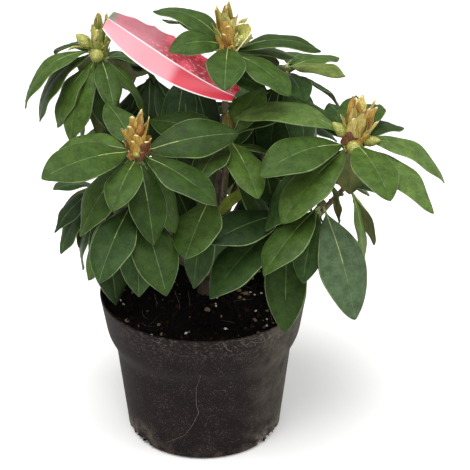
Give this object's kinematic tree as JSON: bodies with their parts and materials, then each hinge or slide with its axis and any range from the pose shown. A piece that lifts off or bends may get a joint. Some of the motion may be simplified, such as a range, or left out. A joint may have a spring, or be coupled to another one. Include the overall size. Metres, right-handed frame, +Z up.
{
  "type": "potted rhododendron",
  "caption": "Young evergreen shrub with whorled oval leaves and flower buds in a round tapered plastic pot, with a printed card at its top.",
  "frame": {"origin": "middle of the pot's flat underside", "axes": "+Z up along the pot's axis, -Y towards the plant's front, +X to the viewer's right"},
  "size_m": [0.3679, 0.3407, 0.4186],
  "materials": {
    "pot": "matte, dusty",
    "mix": "rough, damp",
    "bark": "rough bark",
    "foliage": "satin leaves",
    "card": "printed, satin"
  },
  "bodies": {
    "root": {"pot": "pot", "potting_mix": "mix", "stem": "bark", "bough_top": "bark", "bough_left_front": "bark", "bough_right": "bark", "bough_left_back": "bark", "bough_middle": "bark", "bough_back_right": "bark", "bough_low_left": "bark", "bough_low_left_front": "bark", "bough_low_middle": "bark", "bough_low_right_front": "bark", "bough_low_right": "bark", "bough_right_back": "bark", "bough_inner_left": "bark", "bough_inner_right": "bark", "bough_back_left": "bark", "bough_upper_back": "bark", "bough_back": "bark", "bough_back_middle": "bark", "bough_low_back_left": "bark", "bough_low_back": "bark", "bough_low_back_right": "bark", "foliage_top": "foliage", "foliage_left_front": "foliage", "foliage_right": "foliage", "foliage_left_back": "foliage", "foliage_middle": "foliage", "foliage_back_right": "foliage", "foliage_low_left": "foliage", "foliage_low_left_front": "foliage", "foliage_low_middle": "foliage", "foliage_low_right_front": "foliage", "foliage_low_right": "foliage", "foliage_right_back": "foliage", "foliage_inner_left": "foliage", "foliage_inner_right": "foliage", "foliage_back_left": "foliage", "foliage_upper_back": "foliage", "foliage_back": "foliage", "foliage_back_middle": "foliage", "foliage_low_back_left": "foliage", "foliage_low_back": "foliage", "foliage_low_back_right": "foliage", "label": "card"}
  },
  "joints": []
}
